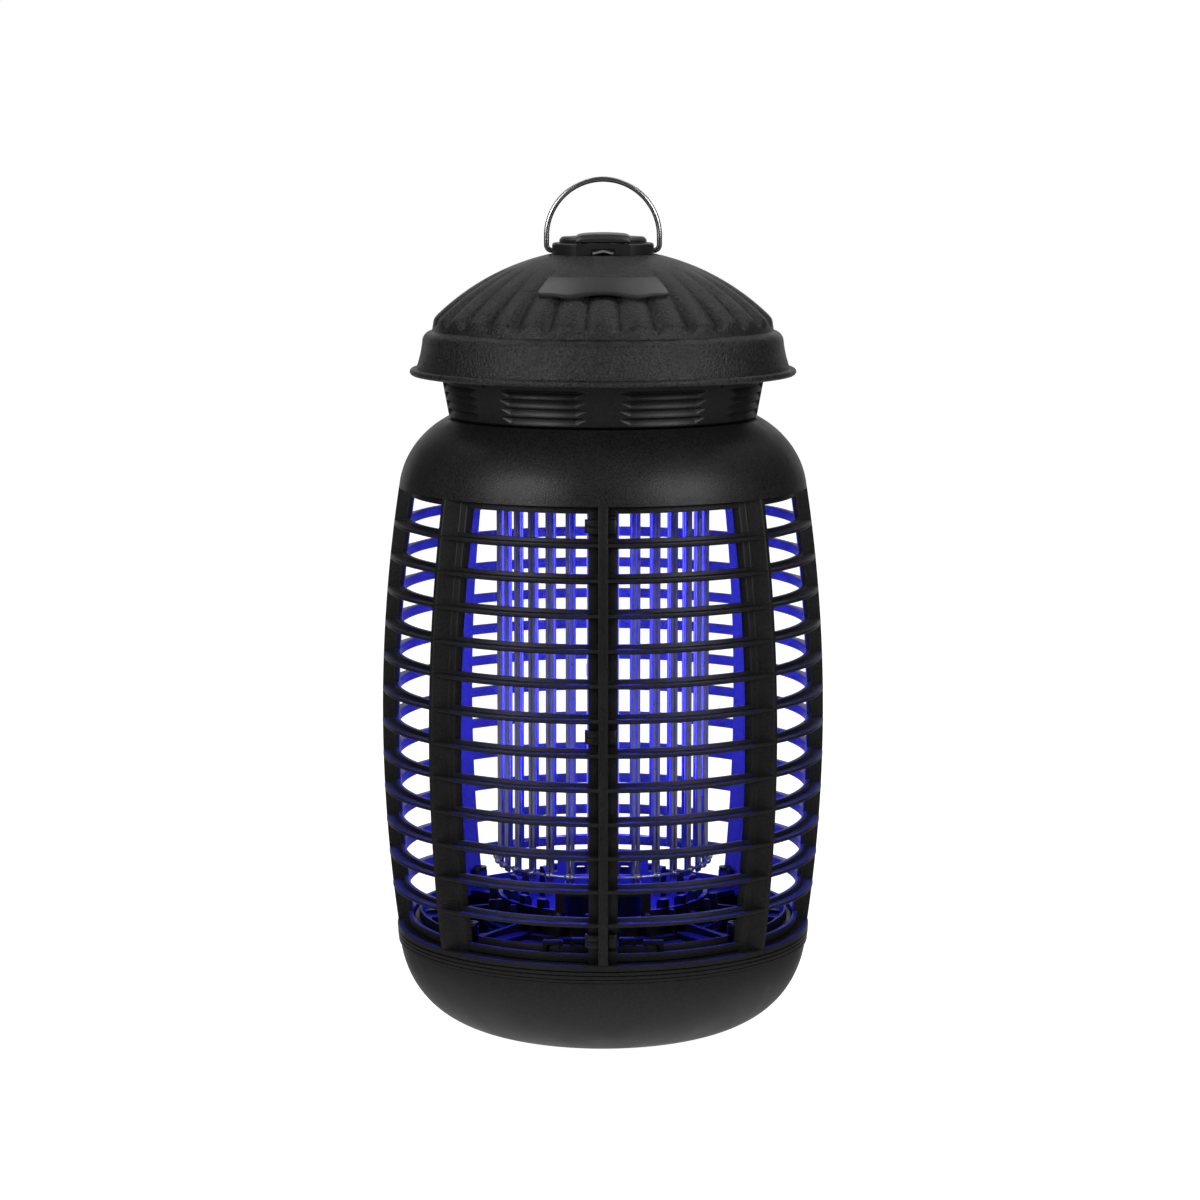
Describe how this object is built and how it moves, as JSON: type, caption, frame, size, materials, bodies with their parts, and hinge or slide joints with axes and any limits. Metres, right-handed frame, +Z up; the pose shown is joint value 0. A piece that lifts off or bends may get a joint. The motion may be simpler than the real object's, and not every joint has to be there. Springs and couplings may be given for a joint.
{
  "type": "electric bug zapper",
  "caption": "Hanging lantern-shaped electric bug zapper with a slotted barrel cage, wire grid round a UV lamp, domed cap, hanging loop and twist-off bowl.",
  "frame": {"origin": "centre of the flat underside of the collection bowl", "axes": "+Z up along the lantern's axis, -Y towards the front with the badge plate, +X to the right seen from the front"},
  "size_m": [0.16, 0.16, 0.3084],
  "materials": {
    "foot_black": "fine satin texture",
    "insert_black": "satin moulded plastic",
    "cage_black": "fine satin texture",
    "shoulder_black": "fine satin texture",
    "collar_black": "fine satin texture",
    "cap_black": "coarse pebbled texture",
    "badge_grey": "smooth satin",
    "hub_black": "smooth satin",
    "screw_steel": "zinc plated",
    "grid_steel": "drawn steel wire",
    "spring_steel": "bright spring steel",
    "bail_steel": "dark polished steel",
    "lamp_glass": "phosphor-coated ultraviolet glass",
    "lamp_white": "moulded white plastic",
    "board_green": "solder mask",
    "transformer_core": "ferrite and tape",
    "capacitor_sleeve": "shrink sleeve",
    "bush_rubber": "soft matte"
  },
  "bodies": {
    "lantern": {"badge_plate": "badge_grey", "base_ring": "foot_black", "cage_left_columns": "cage_black", "cage_left_hoops": "cage_black", "cage_right_columns": "cage_black", "cage_right_hoops": "cage_black", "collar": "collar_black", "cord_inlet": "bush_rubber", "deck_screws": "screw_steel", "dome_cap": "cap_black", "driver_board": "board_green", "driver_capacitors": "capacitor_sleeve", "driver_transformer": "transformer_core", "floor_insert": "insert_black", "floor_screws": "screw_steel", "grid_bus_rings": "grid_steel", "grid_deck": "insert_black", "grid_ring_lower": "grid_steel", "grid_wires_live": "grid_steel", "grid_wires_return": "grid_steel", "hanger_hub": "hub_black", "head_floor": "insert_black", "head_screws": "screw_steel", "hub_clip": "spring_steel", "hub_screws": "screw_steel", "hub_strap": "hub_black", "lamp_base": "lamp_white", "lamp_socket": "lamp_white", "lamp_tubes": "lamp_glass", "shoulder": "shoulder_black"},
    "bail": {"bail": "bail_steel"},
    "bowl": {"collection_bowl": "foot_black"}
  },
  "joints": [
    {"name": "bail_swing", "type": "hinge", "parent": "lantern", "child": "bail", "pos_m": [0, 0, 0.2822], "axis": [1, 0, 0], "range_deg": [-92, 92]},
    {"name": "bowl_twist", "type": "hinge", "parent": "lantern", "child": "bowl", "pos_m": [0, 0, 0.035], "axis": [0, 0, 1], "range_deg": [0, 25]}
  ]
}
